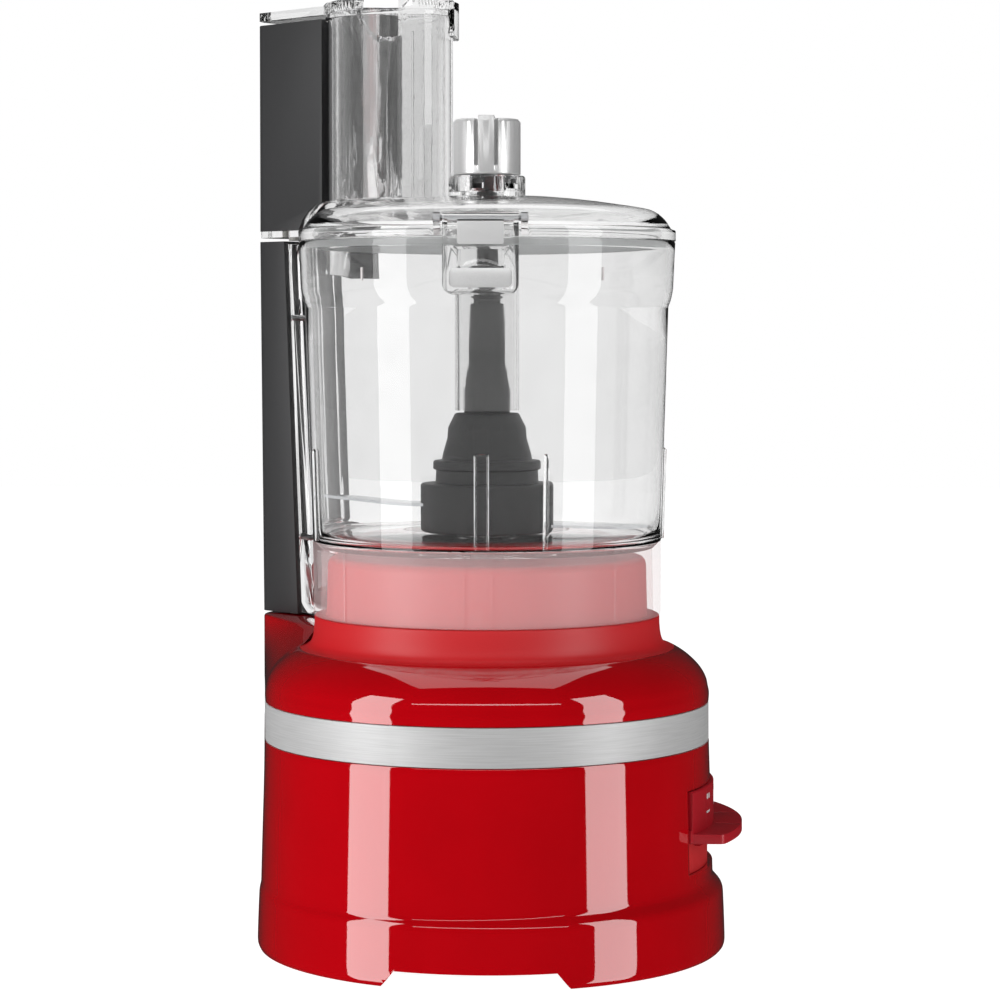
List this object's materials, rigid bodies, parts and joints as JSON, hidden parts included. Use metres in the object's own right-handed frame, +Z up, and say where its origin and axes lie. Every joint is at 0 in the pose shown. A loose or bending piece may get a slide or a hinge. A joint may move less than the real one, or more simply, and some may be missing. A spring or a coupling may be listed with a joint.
{
  "type": "food processor",
  "caption": "Food processor with a belt-driven base, lift-off clear bowl with handle, latched lid with wide feed tube and nested pushers, chopping blade, thickness knob and speed paddle.",
  "frame": {"origin": "centre of the outer box, on the surface the feet stand on", "axes": "+Z up along the drive axis; -Y towards the lid latch at the front; +X towards the speed paddle; the handle points to -X +Y"},
  "size_m": [0.2406, 0.225, 0.4548],
  "materials": {
    "gloss_red": "high-gloss red moulding",
    "satin_red": "satin red moulding",
    "paddle_red": "satin dark red moulding",
    "brushed_aluminium": "brushed along its length",
    "black_plastic": "moulded black plastic",
    "rubber_black": "moulded rubber",
    "steel": "turned steel",
    "motor_iron": "stacked laminations",
    "copper": "enamelled copper wire",
    "cast_aluminium": "die cast",
    "circuit_board": "green laminate",
    "mark_grey": "pad-printed grey",
    "white_plastic": "natural acetal",
    "clear_plastic": "clear moulded copolyester",
    "frosted_plastic": "clear moulding with a frosted inside",
    "charcoal_plastic": "satin charcoal moulding",
    "hub_charcoal": "satin glass-filled nylon",
    "blade_steel": "ground stainless steel",
    "gasket_clear": "soft clear silicone",
    "satin_silver": "satin metallised"
  },
  "bodies": {
    "base": {"lower_housing": "gloss_red", "control_panel": "satin_red", "trim_band": "brushed_aluminium", "upper_housing": "gloss_red", "bowl_seat": "satin_red", "bottom_plate": "black_plastic", "rubber_feet": "rubber_black", "housing_screws": "steel", "motor_stator": "motor_iron", "motor_windings": "copper", "motor_end_bells": "cast_aluminium", "motor_deck": "black_plastic", "motor_mounts": "rubber_black", "bearing_tower": "cast_aluminium", "bearings": "steel", "spindle_seal": "rubber_black", "drive_belt": "rubber_black", "control_board": "circuit_board", "speed_switch": "black_plastic", "interlock_switch": "black_plastic", "switch_bracket": "black_plastic", "lead_bushing": "rubber_black"},
    "spindle": {"drive_spindle": "steel", "large_pulley": "black_plastic"},
    "motor_rotor": {"motor_shaft": "steel", "rotor_core": "motor_iron", "commutator": "copper", "cooling_fan": "black_plastic", "small_pulley": "steel"},
    "speed_lever": {"speed_paddle": "paddle_red", "paddle_marks": "mark_grey"},
    "plunger": {"switch_plunger": "white_plastic", "plunger_spring": "steel"},
    "bowl_unit": {"bowl": "clear_plastic", "fill_marks": "mark_grey", "bowl_skirt": "frosted_plastic", "bowl_handle": "clear_plastic", "handle_cover": "charcoal_plastic", "handle_screws": "steel"},
    "bowl_push_rod": {"bowl_rod": "white_plastic"},
    "blade_unit": {"blade_hub": "hub_charcoal", "blade_stem": "hub_charcoal", "upper_blade": "blade_steel", "lower_blade": "blade_steel"},
    "lid_unit": {"lid": "clear_plastic", "latch_pin": "steel", "lid_gasket": "gasket_clear", "feed_tube": "clear_plastic", "column_cover": "charcoal_plastic", "column_web": "clear_plastic", "lid_sleeve": "clear_plastic", "knob_collar": "clear_plastic", "knob_ratchet": "black_plastic"},
    "lid_push_rod": {"lid_rod": "white_plastic"},
    "latch": {"latch_frame": "clear_plastic", "latch_plates": "satin_silver"},
    "thickness_knob": {"adjust_knob": "satin_silver", "knob_shaft": "black_plastic"},
    "wide_pusher": {"food_pusher": "clear_plastic"},
    "narrow_pusher": {"small_pusher": "clear_plastic"}
  },
  "joints": [
    {"name": "spindle_spin", "type": "hinge", "parent": "base", "child": "spindle", "pos_m": [-0.00163, -0.00086, 0.02], "axis": [0, 0, 1], "continuous": true},
    {"name": "rotor_spin", "type": "hinge", "parent": "base", "child": "motor_rotor", "pos_m": [-0.05802, -0.02138, 0.02], "axis": [0, 0, 1], "continuous": true},
    {"name": "paddle_slide", "type": "slide", "parent": "base", "child": "speed_lever", "axis": [0, 0, 1], "range_m": [-0.012, 0]},
    {"name": "bowl_lift", "type": "slide", "parent": "base", "child": "bowl_unit", "axis": [0, 0, 1], "range_m": [0, 0.1]},
    {"name": "blade_spin", "type": "hinge", "parent": "bowl_unit", "child": "blade_unit", "pos_m": [-0.00163, -0.00086, 0.2], "axis": [0, 0, 1], "continuous": true},
    {"name": "lid_lift", "type": "slide", "parent": "bowl_unit", "child": "lid_unit", "axis": [0, 0, 1], "range_m": [0, 0.13]},
    {"name": "latch_open", "type": "hinge", "parent": "lid_unit", "child": "latch", "pos_m": [-0.00163, -0.09446, 0.3444], "axis": [-1, 0, 0], "range_deg": [0, 70]},
    {"name": "knob_turn", "type": "hinge", "parent": "lid_unit", "child": "thickness_knob", "pos_m": [-0.00163, -0.00086, 0.37], "axis": [0, 0, 1], "range_deg": [0, 150]},
    {"name": "pusher_lift", "type": "slide", "parent": "lid_unit", "child": "wide_pusher", "axis": [0, 0, 1], "range_m": [0, 0.12]},
    {"name": "narrow_pusher_lift", "type": "slide", "parent": "wide_pusher", "child": "narrow_pusher", "axis": [0, 0, 1], "range_m": [0, 0.11]},
    {"name": "lid_rod_slide", "type": "slide", "parent": "lid_unit", "child": "lid_push_rod", "axis": [0, 0, 1], "range_m": [0, 0.006]},
    {"name": "bowl_rod_slide", "type": "slide", "parent": "bowl_unit", "child": "bowl_push_rod", "axis": [0, 0, 1], "range_m": [0, 0.006]},
    {"name": "plunger_slide", "type": "slide", "parent": "base", "child": "plunger", "axis": [0, 0, 1], "range_m": [0, 0.006]}
  ],
  "couplings": [
    {"joint": "rotor_spin", "follows": "spindle_spin", "ratio": 4},
    {"joint": "blade_spin", "follows": "spindle_spin", "ratio": 1},
    {"joint": "lid_rod_slide", "follows": "pusher_lift", "ratio": 0.041667},
    {"joint": "bowl_rod_slide", "follows": "pusher_lift", "ratio": 0.041667},
    {"joint": "plunger_slide", "follows": "pusher_lift", "ratio": 0.041667}
  ]
}
